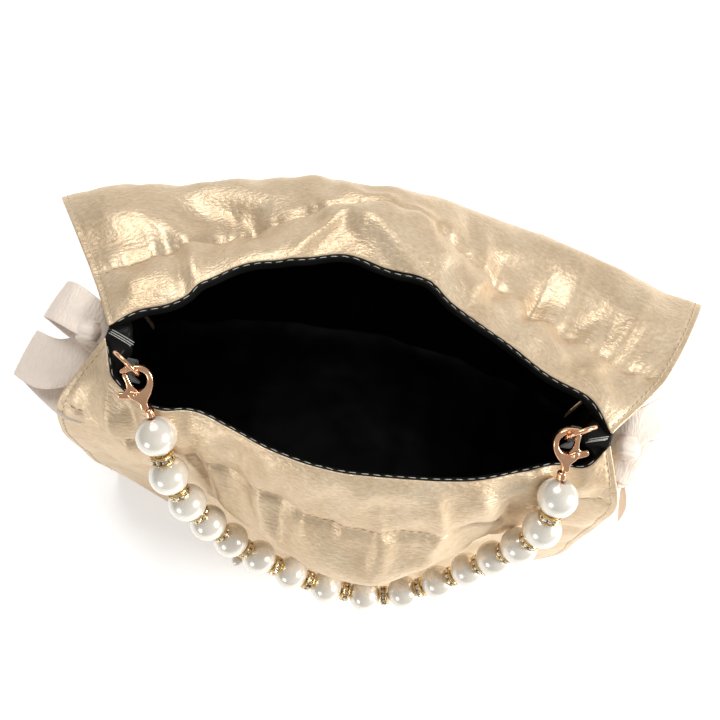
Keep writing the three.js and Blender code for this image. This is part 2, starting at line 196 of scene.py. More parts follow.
def pearl_coat(name, pale, deep):
    made, tree, shader = new_material(name)
    where = stretched(tree)
    cloud = noise(tree, where, 160, 3)
    orange_peel = noise(tree, where, 1400, 2)
    fill(tree, shader, {"Base Color": mixed(tree, ramp(tree, cloud, 0, 1), deep, pale), "Metallic": 0.35,
                        "Roughness": ramp(tree, cloud, 0.2, 0.3), "Specular IOR Level": 0.6,
                        "Specular Tint": (1.0, 0.97, 0.92, 1), "Coat Weight": 0.8, "Coat Roughness": 0.16,
                        "Coat IOR": 1.6, "Normal": bumped(tree, [(orange_peel, 0.05, 0.0001)])})
    return made


def floor_paint():
    made, tree, shader = new_material("floor_paint")
    grain = noise(tree, stretched(tree), 60, 3)
    fill(tree, shader, {"Base Color": mixed(tree, grain, (0.93, 0.93, 0.93), (0.95, 0.95, 0.95)),
                        "Roughness": 0.8, "Emission Color": (1, 1, 1, 1), "Emission Strength": 0.3})
    return made


# Painted light and shade on both satins: the first colour is for the lit patches, the second for the shaded ones.
SATIN = woven_satin("champagne_satin", (0.84, 0.69, 0.50), (0.68, 0.52, 0.34), 0.41, 0.6, 0.55, 0.15)
RIBBON = woven_satin("ribbon_satin", (0.90, 0.79, 0.70), (0.84, 0.73, 0.63), 0.5, 0.2, 0.05, 0.3)
LINING = lining_cloth()
PALE_THREAD = plain_thread("silver_thread", (0.55, 0.53, 0.48), (0.28, 0.27, 0.24))
SATIN_THREAD = plain_thread("satin_thread", (0.80, 0.66, 0.47), (0.52, 0.39, 0.24))
BLACK_TAPE = plain_thread("black_tape", (0.02, 0.019, 0.018), (0.008, 0.008, 0.008))
GOLD = polished("rose_gold", (0.92, 0.55, 0.33), (0.80, 0.44, 0.25), 0.14)
CUP_GOLD = polished("cup_gold", (0.83, 0.62, 0.30), (0.62, 0.42, 0.17), 0.18)
# Painted reflections: the stones' colour runs in patches from near white, standing for glints, to dark grey, standing
# for dark reflections.
STONE = polished("cut_stone", (0.95, 0.93, 0.88), (0.30, 0.28, 0.25), 0.04)
CABLE = polished("bead_cable", (0.6, 0.58, 0.55), (0.4, 0.38, 0.36), 0.3)
PEARL = pearl_coat("ivory_pearl", (0.86, 0.81, 0.72), (0.78, 0.72, 0.61))
BOARD = plain_thread("grey_board", (0.36, 0.30, 0.24), (0.28, 0.23, 0.18), 0.9)

# ---- mesh helpers


def add_mesh(name, vertices, faces, material, body, smooth=True, uvs=None):
    data = bpy.data.meshes.new(name)
    data.from_pydata([tuple(v) for v in vertices], [], [tuple(f) for f in faces])
    data.validate()
    data.materials.append(material)
    if uvs is not None:
        layer = data.uv_layers.new(name="UVMap")
        index = np.zeros(len(data.loops), int)
        data.loops.foreach_get("vertex_index", index)
        layer.data.foreach_set("uv", np.asarray(uvs, float)[index].ravel())
    if smooth:
        data.shade_smooth()
    made = placed(name, data)
    if body:
        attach(made, body)
    return made


def modifier(piece, kind, **settings):
    made = piece.modifiers.new(kind.lower(), kind)
    for key, value in settings.items():
        setattr(made, key, value)
    return made


UP = np.array([0.0, 0.0, 1.0])


def unit(v):
    v = np.asarray(v, float)
    return v / np.maximum(np.linalg.norm(v, axis=-1, keepdims=True), 1e-12)


TUBE_GUIDE = np.array([0.31, 0.55, 0.77])  # seldom along a path, so it can start its frame


def tube(path, radius, sides=8, closed=False, taper=None):
    """Vertices and faces of a round tube along a path, in metres."""
    path = np.asarray(path, float)
    count = len(path)
    if closed:
        tangent = unit(np.roll(path, -1, 0) - np.roll(path, 1, 0))
    else:
        tangent = unit(np.gradient(path, axis=0))
    side = np.zeros_like(path)
    guide = TUBE_GUIDE
    for i in range(count):
        side[i] = guide = unit(guide - tangent[i] * (guide @ tangent[i]))
    across = np.cross(tangent, side)
    size = np.full(count, radius) if taper is None else radius * np.asarray(taper)
    vertices = []
    for k in range(sides):
        angle = 2 * math.pi * k / sides
        vertices.append(path + size[:, None] * (math.cos(angle) * side + math.sin(angle) * across))
    vertices = np.stack(vertices, 1).reshape(-1, 3)
    faces = []
    rings = count if closed else count - 1
    for i in range(rings):
        j = (i + 1) % count
        for k in range(sides):
            m = (k + 1) % sides
            faces.append((i * sides + k, i * sides + m, j * sides + m, j * sides + k))
    if not closed:
        faces.append(tuple(range(sides))[::-1])
        faces.append(tuple((count - 1) * sides + k for k in range(sides)))
    return vertices, faces


def merge(parts):
    vertices, faces, base = [], [], 0
    for part_vertices, part_faces in parts:
        vertices.append(np.asarray(part_vertices, float))
        faces += [tuple(base + i for i in face) for face in part_faces]
        base += len(part_vertices)
    return np.concatenate(vertices), faces


def ring_faces(size, segments):
    """Faces of a closed ring of so many profiles, each a closed outline of so many points."""
    total = size * segments
    pairs = [(k * size + i, k * size + (i + 1) % size) for k in range(segments) for i in range(size)]
    return [(a, (a + size) % total, (b + size) % total, b) for a, b in pairs]


def lathe(profile, segments):
    """A ring turned about the Z axis from a closed outline of (radius, height)."""
    vertices = [(r * math.cos(2 * math.pi * k / segments), r * math.sin(2 * math.pi * k / segments), z)
                for k in range(segments) for r, z in profile]
    return vertices, ring_faces(len(profile), segments)


def faces_out(piece):
    work = bmesh.new()
    work.from_mesh(piece.data)
    bmesh.ops.recalc_face_normals(work, faces=work.faces)
    work.to_mesh(piece.data)
    work.free()


# ---- curves and surfaces


def catmull(control, t):
    """Centripetal Catmull-Rom through control[n, ..., 3] at parameters t in 0..n-1."""
    control = np.asarray(control, float)
    n = len(control)
    extended = np.concatenate([[2 * control[0] - control[1]], control, [2 * control[-1] - control[-2]]])
    out = []
    for value in np.atleast_1d(t):
        i = int(min(max(math.floor(value), 0), n - 2))
        w = value - i
        p0, p1, p2, p3 = extended[i:i + 4]
        d0, d1, d2 = (np.sqrt(np.linalg.norm(b - a, axis=-1, keepdims=True)) for a, b in
                      ((p0, p1), (p1, p2), (p2, p3)))
        m1 = ((p1 - p0) / d0 - (p2 - p0) / (d0 + d1) + (p2 - p1) / d1) * d1
        m2 = ((p2 - p1) / d1 - (p3 - p1) / (d1 + d2) + (p3 - p2) / d2) * d1
        out.append(p1 + m1 * w + (3 * (p2 - p1) - 2 * m1 - m2) * w ** 2 + (2 * (p1 - p2) + m1 + m2) * w ** 3)
    return np.stack(out)


def lengths_along(path):
    """The distance along a path at each of its points."""
    return np.concatenate([[0], np.cumsum(np.linalg.norm(np.diff(path, axis=0), axis=1))])


def even(control, shares, samples=400):
    """Points at shares of the curve's length."""
    dense = catmull(control, np.linspace(0, len(control) - 1, samples))
    length = lengths_along(dense)
    return np.stack([np.interp(np.asarray(shares) * length[-1], length, dense[:, k]) for k in range(3)], 1)


LEVEL_SHARES = [0, 0.13, 0.25, 0.46, 0.78, 1]


def loft(levels, us, vs):
    """Grid [v][u] of points on the surface through the levels, as in the CAD."""
    control = np.stack([even(level, us) for level in levels])
    t = np.interp(vs, LEVEL_SHARES, range(len(LEVEL_SHARES)))
    return catmull(control, t)


def grid_normals(grid, outward):
    along_u = np.gradient(grid, axis=1)
    along_v = np.gradient(grid, axis=0)
    return unit(np.cross(along_u, along_v)) * outward


def sample(grid, us, vs):
    """Bilinear points of a grid [v][u] at matching lists of u and v."""
    rows, columns = grid.shape[:2]
    y = np.clip(np.asarray(vs, float), 0, 1) * (rows - 1)
    x = np.clip(np.asarray(us, float), 0, 1) * (columns - 1)
    i, j = np.minimum(y.astype(int), rows - 2), np.minimum(x.astype(int), columns - 2)
    a, b = (y - i)[:, None], (x - j)[:, None]
    return ((1 - a) * (1 - b) * grid[i, j] + (1 - a) * b * grid[i, j + 1]
            + a * (1 - b) * grid[i + 1, j] + a * b * grid[i + 1, j + 1])


def value_noise(x, y, seed):
    """Smooth noise of about -1..1 with a cell of 1."""
    lattice = np.random.RandomState(seed).rand(64, 64) * 2 - 1
    xi, yi = np.floor(x).astype(int), np.floor(y).astype(int)
    fx, fy = x - xi, y - yi
    sx, sy = fx * fx * (3 - 2 * fx), fy * fy * (3 - 2 * fy)
    at = lambda i, j: lattice[(yi + j) % 64, (xi + i) % 64]
    return ((at(0, 0) * (1 - sx) + at(1, 0) * sx) * (1 - sy) + (at(0, 1) * (1 - sx) + at(1, 1) * sx) * sy)


def near_line(x, y, line):
    """Distance to a polyline, the share of the way along it, and the side of it as -1 or 1."""
    best, share, side = np.full(x.shape, 1e9), np.zeros(x.shape), np.zeros(x.shape)
    line = np.asarray(line, float)
    steps = np.linalg.norm(np.diff(line, axis=0), axis=1)
    done = 0
    for (ax, ay), (bx, by), step in zip(line[:-1], line[1:], steps):
        dx, dy = bx - ax, by - ay
        t = np.clip(((x - ax) * dx + (y - ay) * dy) / step ** 2, 0, 1)
        distance = np.hypot(x - ax - t * dx, y - ay - t * dy)
        closer = distance < best
        best = np.where(closer, distance, best)
        share = np.where(closer, (done + t * step) / steps.sum(), share)
        side = np.where(closer, np.sign((x - ax) * dy - (y - ay) * dx), side)
        done += step
    return best, share, side


# ---- the pouch's surfaces, as in the CAD

SEAM_Z = 1.6


def level(height, *points):
    return [(x, y, height) for x, y in points]


FRONT_LEVELS = [
    [(-89, -2, 150), (-85, -11, 147.5), (-77, -20, 145.5), (-68, -22, 146), (-52, -20.5, 147), (-42, -23, 147.5),
     (-25, -28, 148.5), (-4, -30.5, 149), (18, -28.5, 149), (45, -23.5, 148), (62, -16.5, 146.5), (72, -12, 145),
     (83, -10.5, 145.5), (89, -2, 150)],
    [(-104, -24, 133), (-86, -30, 128), (-48, -34.5, 126), (0, -47, 126),
     (40, -42, 126), (60, -31, 126), (81, -20, 128), (100, -19, 133)],
    [(-108, -32, 112), (-86, -35, 108), (-52, -40, 105), (-31, -50, 104), (-5, -58, 103), (18, -59, 103),
     (36, -53, 104), (55, -41, 105), (78, -27, 107), (103, -24, 112)],
    level(64, (-114, -35), (-72, -40), (-40, -46), (-12, -54), (8, -57), (40, -49), (72, -37), (110, -29)),
    level(26, (-118, -37), (-85, -43), (-60, -53), (-38, -66), (-10, -73), (12, -74), (32, -70), (50, -63), (66, -54),
          (88, -43), (116, -33)),
    level(SEAM_Z, (-114, -38), (-60, -55), (-20, -64), (12, -66), (45, -61), (80, -48), (114, -36)),
]
BACK_LEVELS = [
    [(-89, 2, 150), (-81, 9.5, 150), (-70, 15, 150), (-59, 27, 150), (-48, 35, 150.5), (-32, 40, 151), (-14, 46, 151),
     (0, 44, 151), (17, 42, 151), (27, 36, 151), (47, 27, 150.5), (65, 18, 150), (80, 13, 150), (89, 2, 150)],
    [(-103, 21, 140), (-92, 29, 139), (-56, 52, 132), (0, 74, 145),
     (32, 61, 138), (57, 48, 131), (93, 31, 138), (110, 29, 140)],
    [(-134, 58, 118), (-100, 71, 120), (-33, 88, 121), (11, 91, 122), (64, 85, 120), (131, 71, 118)],
    level(85, (-140, 60), (-75, 84), (0, 95), (70, 90), (137, 70)),
    level(35, (-134, 54), (-70, 72), (0, 82), (70, 76), (131, 58)),
    level(SEAM_Z, (-118, 42), (-60, 56), (0, 62), (60, 56), (118, 42)),
]
COLUMNS, ROWS = 241, 141
COARSE = 2  # the cloth settles on a grid with this many times fewer rows and columns
SEAM_INSET = 2.6  # of the side seams' stitching
CLOTH_GROWTH = 0.035
CLOTH_FRAMES = 20
CLOTH_BENDING = 0.5
CLOTH_PASSES = 2
CASING_HOLD = 0.6
SMOOTH_HOLD = 0.35


def grid_faces(rows, columns):
    return [(r * columns + c, r * columns + c + 1, (r + 1) * columns + c + 1, (r + 1) * columns + c)
            for r in range(rows - 1) for c in range(columns - 1)]


def settle(grid, hold):
    """A cloth simulation of satin with a little more cloth than the held edges have room for."""
    rows, columns = grid.shape[:2]
    piece = add_mesh("settling", grid.reshape(-1, 3) * MM, grid_faces(rows, columns), SATIN, None)
    group = piece.vertex_groups.new(name="held")
    for i, weight in enumerate(hold.ravel()):
        if weight > 0:
            group.add([i], float(weight), "REPLACE")
    cloth = piece.modifiers.new("cloth", "CLOTH")
    for key, value in dict(quality=5, mass=0.15, tension_stiffness=15, compression_stiffness=15,
                           shear_stiffness=5, bending_stiffness=CLOTH_BENDING, air_damping=5,
                           shrink_min=-CLOTH_GROWTH, vertex_group_mass="held").items():
        setattr(cloth.settings, key, value)
    cloth.settings.effector_weights.gravity = 0.0
    cloth.collision_settings.use_collision = False
    cloth.point_cache.frame_start, cloth.point_cache.frame_end = 1, CLOTH_FRAMES
    scene = bpy.context.scene
    for number in range(1, CLOTH_FRAMES + 1):
        scene.frame_set(number)
    data = piece.evaluated_get(bpy.context.evaluated_depsgraph_get()).data
    moved = np.zeros(len(data.vertices) * 3)
    data.vertices.foreach_get("co", moved)
    scene.frame_set(1)
    bpy.data.objects.remove(piece)
    return moved.reshape(rows, columns, 3) / MM


def soften(grid, passes):
    """The grid with its smallest creases ironed out; its edges stay."""
    grid = grid.copy()
    for _ in range(passes):
        grid[1:-1] = (grid[:-2] + 2 * grid[1:-1] + grid[2:]) / 4
        grid[:, 1:-1] = (grid[:, :-2] + 2 * grid[:, 1:-1] + grid[:, 2:]) / 4
    return grid


def refined(grid, rows, columns):
    """The grid resampled with smooth curves both ways."""
    tall = catmull(grid, np.linspace(0, grid.shape[0] - 1, rows))
    return catmull(tall.swapaxes(0, 1), np.linspace(0, grid.shape[1] - 1, columns)).swapaxes(0, 1)


class Panel:
    """A satin panel: its points in millimetres on an even grid of the cloth. Depths are the cloth's
    length from the rim to each level, to the casing's stitching, and to the smoother lower body."""

    def __init__(self, levels, depths, width, outward, casing, smooth_from, waves, seeds, ridges, extra=None):
        self.width, self.outward, self.casing = width, outward, casing
        rows, columns = ROWS // COARSE + 1, COLUMNS // COARSE + 1
        depth = np.linspace(0, depths[-1], rows)
        us = np.linspace(0, 1, columns)
        x, y = np.meshgrid((us - 0.5) * width, depth)
        base = loft(levels, us, np.interp(depth, depths, LEVEL_SHARES))
        folds = big_folds(x, y, width, depths[-1], casing, seeds[0], waves, ridges, extra)
        base += grid_normals(base, outward) * folds[..., None]
        hold = np.zeros((rows, columns))
        hold[int(np.argmin(abs(depth - casing)))] = CASING_HOLD
        hold[0] = hold[-2:] = 1
        hold[:, :2] = hold[:, -2:] = 1
        hold[depth > smooth_from] = np.maximum(hold[depth > smooth_from], SMOOTH_HOLD)
        base += soften(settle(base, hold) - base, CLOTH_PASSES)
        self.us = np.linspace(0, 1, COLUMNS)
        self.depth = np.linspace(0, depths[-1], ROWS)
        x, y = np.meshgrid((self.us - 0.5) * width, self.depth)
        fine = refined(base, ROWS, COLUMNS)
        self.points = fine + grid_normals(fine, outward) * sewn_details(self, seeds[1], x, y)[..., None]
        self.normals = grid_normals(self.points, outward)
        self.uvs = np.stack([x, -y], -1)

    def at(self, xs, ys, lift=0.0):
        """Points over the cloth at x from the middle and y down from the rim, lifted off it."""
        us = np.asarray(xs, float) / self.width + 0.5
        vs = np.asarray(ys, float) / self.depth[-1]
        normal = unit(sample(self.normals, us, vs))
        return sample(self.points, us, vs) + normal * lift, normal


def soft_waves(x, y, seed, height):
    """The slow dents of satin that carries no load."""
    turn = x * 0.8 + y * 0.6
    other = y * 0.8 - x * 0.6
    return height * (value_noise(turn / 24 + 5, other / 34 + 2, seed)
                     + 0.45 * value_noise(x / 11, y / 14, seed + 1))


def ridge(x, y, line, width, height, lean=0.0):
    """A fold along a line: width each side, height (negative for a valley), tapered at its ends."""
    distance, share, side = near_line(x, y, line)
    reach = width * (1 - lean * side)
    return height * np.exp(-(distance / reach) ** 2) * np.sin(np.pi * np.clip(share, 0.06, 0.94)) ** 0.5


def big_folds(x, y, width, depth, casing, seed, waves, ridges, extra):
    """The puffed casing and the folds that the panel lies in, before the cloth settles."""
    puff = 2.0 * np.sin(np.pi * np.clip(y / casing, 0, 1)) ** 0.8 - 1.0 * np.exp(-((y - casing) / 3) ** 2)
    total = puff + soft_waves(x, y, seed, waves) * np.clip(y / 12, 0, 1)
    for fold in ridges:
        total += ridge(x, y, *fold)
    if extra:
        total += extra(x, y)
    return total * np.clip((width / 2 - np.abs(x)) / 14, 0, 1) * np.clip((depth - y) / 20, 0, 1)


def sewn_details(panel, seed, x, y):
    """The stitched groove under the casing, the gathers that run off it, and the edge seams."""
    across, inset = np.abs(y - panel.casing), panel.width / 2 - np.abs(x)
    wander = 5 * value_noise(x / 30, y / 25, seed)
    gathers = value_noise((x + wander) / 5.5, y / 30 + 7, seed + 1) * np.exp(-(across / 9) ** 2) * 0.65
    fine = value_noise((x + wander) / 2.8, y / 14 + 3, seed + 2) * np.exp(-(across / 4) ** 2) * 0.25
    groove = -0.9 * np.exp(-(across / 1.5) ** 2)
    seam = -0.35 * np.exp(-((inset - SEAM_INSET) / 0.9) ** 2)
    return (gathers + fine + groove) * np.clip(inset / 8, 0, 1) + seam


def overhang(x, y):
    """The front sags out over its lower body under the casing."""
    return (2.0 * np.exp(-((y - 50) / 9) ** 2) - 4.0 * np.exp(-((y - 70) / 9) ** 2)) * np.exp(-(x / 75) ** 4)


# Each fold: its line over the cloth, its width each side, its height and sometimes its lean
BACK_RIDGES = [
    ([(-30, 24), (-12, 12), (8, 4), (24, 1)], 5.5, 3.2, 0.25),
    ([(-44, 1), (-34, 10), (-22, 20)], 4, 1.8),
    ([(-22, 17), (0, 5), (16, -2)], 3, -1.8),
    ([(-118, 52), (-100, 34), (-84, 22), (-70, 16)], 9, 2.6),
    ([(-104, 60), (-88, 44), (-66, 36)], 8, -1.6),
    ([(-90, 1), (-92, 16), (-96, 30)], 4.5, 2.0),
    ([(-76, 8), (-74, 22), (-70, 36)], 3.5, 1.6),
    ([(-98, 4), (-101, 20), (-104, 34)], 3.5, -1.6),
    ([(44, 10), (47, 22), (45, 38)], 4.5, 2.4),
    ([(60, 12), (66, 26), (64, 44)], 5, 2.6),
    ([(53, 14), (56, 26), (54, 38)], 3, -1.8),
    ([(78, 14), (84, 28), (86, 46)], 5, 2.6),
    ([(71, 14), (75, 28), (75, 42)], 3, -1.8),
    ([(95, 12), (99, 26), (102, 42)], 4.5, 2.4),
    ([(108, 12), (111, 30), (114, 50)], 4, 2.0),
    ([(30, 40), (58, 46), (92, 50)], 9, 1.4),
]
FRONT_RIDGES = [
    ([(-97, 1), (-91, 14), (-84, 30), (-78, 44)], 4.5, 3.0, 0.2),
    ([(-86, 2), (-80, 14), (-75, 28)], 4, -2.8),
    ([(-70, 3), (-64, 16), (-60, 34)], 4.5, 2.2),
    ([(-54, 16), (-50, 32), (-44, 48)], 4, 1.8),
    ([(-58, 20), (-55, 34), (-50, 46)], 2.5, -1.6),
    ([(-34, 20), (-28, 36), (-18, 52)], 5, 2.0),
    ([(18, 18), (22, 32), (20, 50)], 4.5, 1.8),
    ([(40, 10), (43, 26), (40, 44)], 4, 1.8),
    ([(58, 12), (62, 28), (64, 46)], 4.5, 2.2),
    ([(76, 8), (82, 24), (86, 44)], 4.5, 2.2),
    ([(68, 14), (72, 28), (74, 44)], 3, -1.8),
]
FRONT = Panel(FRONT_LEVELS, depths=[0, 28, 53, 92, 134, 160], width=225, outward=-1, casing=28, smooth_from=90,
              waves=1.6, seeds=(41, 31), ridges=FRONT_RIDGES, extra=overhang)
BACK = Panel(BACK_LEVELS, depths=[0, 29, 58, 95, 147, 186], width=272, outward=1, casing=29, smooth_from=46,
             waves=1.9, seeds=(21, 11), ridges=BACK_RIDGES)


# Material, slot and thickness in millimetres of each kind of cloth
CLOTHS = {"satin": (SATIN, "satin", 0.8), "lining": (LINING, "lining", 0.3), "ribbon": (RIBBON, "ribbon", 0.4),
          "thin ribbon": (RIBBON, "ribbon", 0.3)}


def add_cloth(name, grid, normals, uvs, kind, nodes, body="bag"):
    """A cloth sheet with its outer face on the grid, in millimetres; its thickness goes inwards."""
    material, slot_name, thickness = CLOTHS[kind]
    rows, columns = grid.shape[:2]
    piece = add_mesh(name, grid.reshape(-1, 3) * MM, grid_faces(rows, columns), material, body,
                     uvs=uvs.reshape(-1, 2) * MM)
    middle = piece.data.polygons[(rows // 2) * (columns - 1) + columns // 2]
    if middle.normal.dot(Vector(normals[rows // 2, columns // 2])) < 0:
        piece.data.flip_normals()
    modifier(piece, "SOLIDIFY", thickness=thickness * MM, offset=-1)
    modifier(piece, "SUBSURF", levels=1, render_levels=1)
    if nodes:
        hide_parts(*nodes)
    return piece


PANELS = {"front": FRONT, "back": BACK}
for label, panel in PANELS.items():
    add_cloth(f"{label}_satin", panel.points, panel.normals, panel.uvs, "satin", [f"{label}_panel"])

# ---- lining, with a stitched ledge inside the rim

# Steps of the ledge: level distance into the bag, and height over the rim
LEDGE = [(0.1, -0.35), (0.4, -0.3), (0.8, -0.4), (1.2, -0.8), (1.5, -1.6), (1.8, -2.8), (2.2, -5.0)]
LINING_DEPTH = 2.4  # behind the satin's outer face
LINING_SHARE = 0.963  # of the satin's width


def ledge_frame(panel):
    """Rim points, the level direction into the bag at each, and how far the ledge opens there."""
    rim = panel.points[0]
    along = np.gradient(rim, axis=0)
    along[:, 2] = 0
    inward = unit(np.cross(along, (0, 0, 1)))
    inward *= -panel.outward * np.sign(inward[len(rim) // 2, 1])
    opening = np.clip(np.minimum(panel.us, 1 - panel.us) / 0.05, 0, 1) ** 0.7
    return rim, inward, opening[:, None]


def add_lining(label, panel):
    rim, inward, opening = ledge_frame(panel)
    rows = [rim + inward * h * opening + UP * z for h, z in LEDGE]
    first = int(np.searchsorted(panel.depth, 16))
    keep = np.arange(first, ROWS - 1, 2)
    x, y = np.meshgrid((panel.us - 0.5) * panel.width, panel.depth[keep])
    own = 1.6 * value_noise(x / 26, y / 60, int(panel.width)) * np.clip((y - 14) / 20, 0, 1)
    narrow = (x / panel.width * LINING_SHARE + 0.5).ravel()
    down = (y / panel.depth[-1]).ravel()
    wall, facing = (sample(grid, narrow, down).reshape(*x.shape, 3) for grid in (panel.points, panel.normals))
    body = wall - facing * (LINING_DEPTH + np.abs(own))[..., None]
    grid = np.concatenate([np.stack(rows), body])[:, ::2]
    steps = np.linalg.norm(np.diff(grid, axis=0), axis=2).mean(1)
    depth = np.concatenate([[0], np.cumsum(steps)])
    x, y = np.meshgrid((panel.us[::2] - 0.5) * panel.width, depth)
    add_cloth(f"{label}_lining_cloth", grid, -grid_normals(grid, panel.outward), np.stack([x, -y], -1), "lining",
              [f"{label}_lining"])


for label, panel in PANELS.items():
    add_lining(label, panel)


def add_base_lining():
    """The floor of the lining, sewn to the foot of both linings."""
    feet = []
    for panel in (FRONT, BACK):
        row = int(np.searchsorted(panel.depth, panel.depth[-1] - 9))
        inner = slice(6, COLUMNS - 6, 4)
        feet.append(panel.points[row][inner] - panel.normals[row][inner] * (LINING_DEPTH - 0.3))
    w = np.linspace(0, 1, 25)[:, None, None]
    grid = feet[0] * (1 - w) + feet[1] * w
    x, y = grid[..., 0], grid[..., 1]
    dip = np.sin(np.pi * w[..., 0]) ** 0.4 * 4.0
    grid[..., 2] = np.maximum(grid[..., 2] - dip, 4.6) + 0.5 * value_noise(x / 17, y / 15, 88)
    normals = np.tile(UP, (*grid.shape[:2], 1))
    add_cloth("base_lining_cloth", grid, normals, np.stack([x, y], -1), "lining", ["base_lining"])


add_base_lining()

# ---- side gussets

SETBACK = 1.7  # of a gusset's edges behind the panels' outer faces
FLANGE_SHARE = 0.015  # of a panel's width that stands past the gusset
GUSSET_WIDTH, GUSSET_DEPTH = 90, 150


def gusset_grid(side, rows=61, columns=41):
    """The folded in side, from the front panel's edge to the back panel's."""
    edge = FLANGE_SHARE if side < 0 else 1 - FLANGE_SHARE
    vs = np.linspace(0.03, 1, rows)
    ends = []
    for levels, outward in ((FRONT_LEVELS, -1), (BACK_LEVELS, 1)):
        near = loft(levels, np.clip([edge - 0.004, edge, edge + 0.004], 0, 1), vs)
        ends.append(near[:, 1] - grid_normals(near, outward)[:, 1] * SETBACK)
    w = np.linspace(0, 1, columns)[None, :, None]
    fold = 36 * vs ** 0.4 * (1 - vs) ** 1.2
    middle = (ends[0] + ends[1]) / 2
    middle[:, 0] -= side * 2 * fold
    start, end, middle = ends[0][:, None], ends[1][:, None], middle[:, None]
    return start * (1 - w) ** 2 + 2 * middle * w * (1 - w) + end * w ** 2


def add_gusset(label, side, seed):
    grid = gusset_grid(side)
    x, y = np.meshgrid(np.linspace(0, GUSSET_WIDTH, grid.shape[1]), np.linspace(0, GUSSET_DEPTH, grid.shape[0]))
    waves = soft_waves(x, y, seed, 1.4) + value_noise(x / 9, y / 60, seed + 3) * np.exp(-y / 40)
    fade = np.clip(np.minimum(x, GUSSET_WIDTH - x) / 12, 0, 1) * np.clip((GUSSET_DEPTH - y) / 20, 0, 1)
    normals = grid_normals(grid, -side)
    if normals[30, 20, 0] * side < 0:
        normals = -normals
    grid = grid + normals * (waves * fade)[..., None]
    add_cloth(f"{label}_side_satin", grid, normals, np.stack([x, -y], -1), "satin", [f"{label}_gusset"])
    top = grid[0]
    w = np.linspace(0, 1, len(top))[:, None]
    chord = top[:1] * (1 - w) + top[-1:] * w
    cap = [chord + UP * 1.2, chord * 0.5 + top * 0.5 + UP * 0.9, top + UP * 0.7, top - normals[0] * 0.9 + UP * 0.4]
    inner = np.concatenate([np.stack(cap), grid[1:-1] - normals[1:-1] * 1.6])[:, 2:-2]
    depths = np.concatenate([[-9, -5, -1, 0], y[1:-1, 0]])
    x, y = np.meshgrid(x[0, 2:-2], depths)
    add_cloth(f"{label}_side_satin_lining", inner, -grid_normals(inner, 1), np.stack([x, -y], -1), "lining",
              [f"{label}_gusset_lining"])


add_gusset("left", -1, 51)
add_gusset("right", 1, 61)

# ---- stitching


STITCH_STEP = 0.25
STITCH_ARCH = np.array([-0.5, 0.7, 1.0, 0.7, -0.5])[:, None]


def even_path(path, normals, spacing):
    """Evenly spaced points and normals along a path, and its length."""
    along = lengths_along(path)
    at = np.arange(0, along[-1], spacing)
    fine, facing = (np.stack([np.interp(at, along, values[:, k]) for k in range(3)], 1)
                    for values in (path, normals))
    return fine, unit(facing), along[-1]


def add_threads(name, parts, material):
    piece = add_mesh(name, *merge(parts), material, "bag")
    faces_out(piece)


def add_stitches(name, path, normals, pitch, share, radius, material, slot_name, wobble=0.0):
    """Short thread stitches along a path in millimetres; each dips into the cloth at its ends."""
    fine, facing, length = even_path(path, normals, STITCH_STEP)
    random = np.random.RandomState(len(name))
    parts = []
    start = pitch * 0.3
    while start + pitch < length:
        i0, i1 = int(start / STITCH_STEP), int((start + pitch * share) / STITCH_STEP)
        index = np.linspace(i0, i1, 5).astype(int)
        sway = np.cross(fine[i1] - fine[i0], facing[i0])
        sway = unit(sway) * random.uniform(-wobble, wobble)
        points = fine[index] + facing[index] * STITCH_ARCH * radius + sway * np.linspace(-1, 1, 5)[:, None]
        parts.append(tube(points * MM, radius * MM, 6, taper=(0.5, 1, 1, 1, 0.5)))
        start += pitch * random.uniform(0.96, 1.04)
    add_threads(name, parts, material)


def stitch_panel(label, panel):
    """Satin thread along the casing and beside both seams."""
    half = panel.width / 2
    xs = np.linspace(-half + 4, half - 4, 400)
    path = panel.at(xs, np.full(400, panel.casing), 0.05)
    add_stitches(f"{label}_casing_stitches", *path, 3.0, 0.72, 0.2, SATIN_THREAD, "satin")
    for side, name in ((-1, "left"), (1, "right")):
        ys = np.linspace(1, panel.depth[-1] * 0.97, 300)
        path = panel.at(np.full(300, side * (half - SEAM_INSET)), ys, 0.05)
        add_stitches(f"{label}_{name}_seam_stitches", *path, 3.0, 0.72, 0.19, SATIN_THREAD, "satin")


def stitch_rim(label, panel):
    """Pale thread along the black ledge inside the rim."""
    rim, inward, opening = ledge_frame(panel)
    path = rim + inward * 0.75 * opening + np.array([0, 0, -0.3])
    keep = slice(3, -3)
    up = np.tile(UP, (len(rim), 1))
    add_stitches(f"{label}_rim_stitches", path[keep], up[keep], 4.0, 0.62, 0.14, PALE_THREAD, "lining", wobble=0.1)


for stitch in (stitch_panel, stitch_rim):
    for label, panel in PANELS.items():
        stitch(label, panel)


def add_tack(name, start, end, rise):
    """A bar of white thread sewn over a corner of the mouth."""
    start, end = np.array(start, float), np.array(end, float)
    random = np.random.RandomState(7)
    parts = []
    for k in range(4):
        offset = np.array([0.2, 0.45, 0.0]) * (k - 1.5) + random.uniform(-0.3, 0.3, 3)
        t = np.linspace(0, 1, 9)[:, None]
        points = start * (1 - t) + end * t + offset + UP * rise * np.sin(np.pi * t)
        parts.append(tube(points * MM, 0.15 * MM, 6))
    add_threads(name, parts, PALE_THREAD)


add_tack("left_thread_tack", (-87.5, 0.2, 149.6), (-79.5, -2.2, 147.6), 0.8)
add_tack("right_thread_tack", (87.5, 0.2, 149.6), (81.5, -1.8, 147.6), 0.8)

# ---- ribbon bows


RIBBON_ALONG, RIBBON_ACROSS = 60, 13
RIBBON_CROWN = 0.3


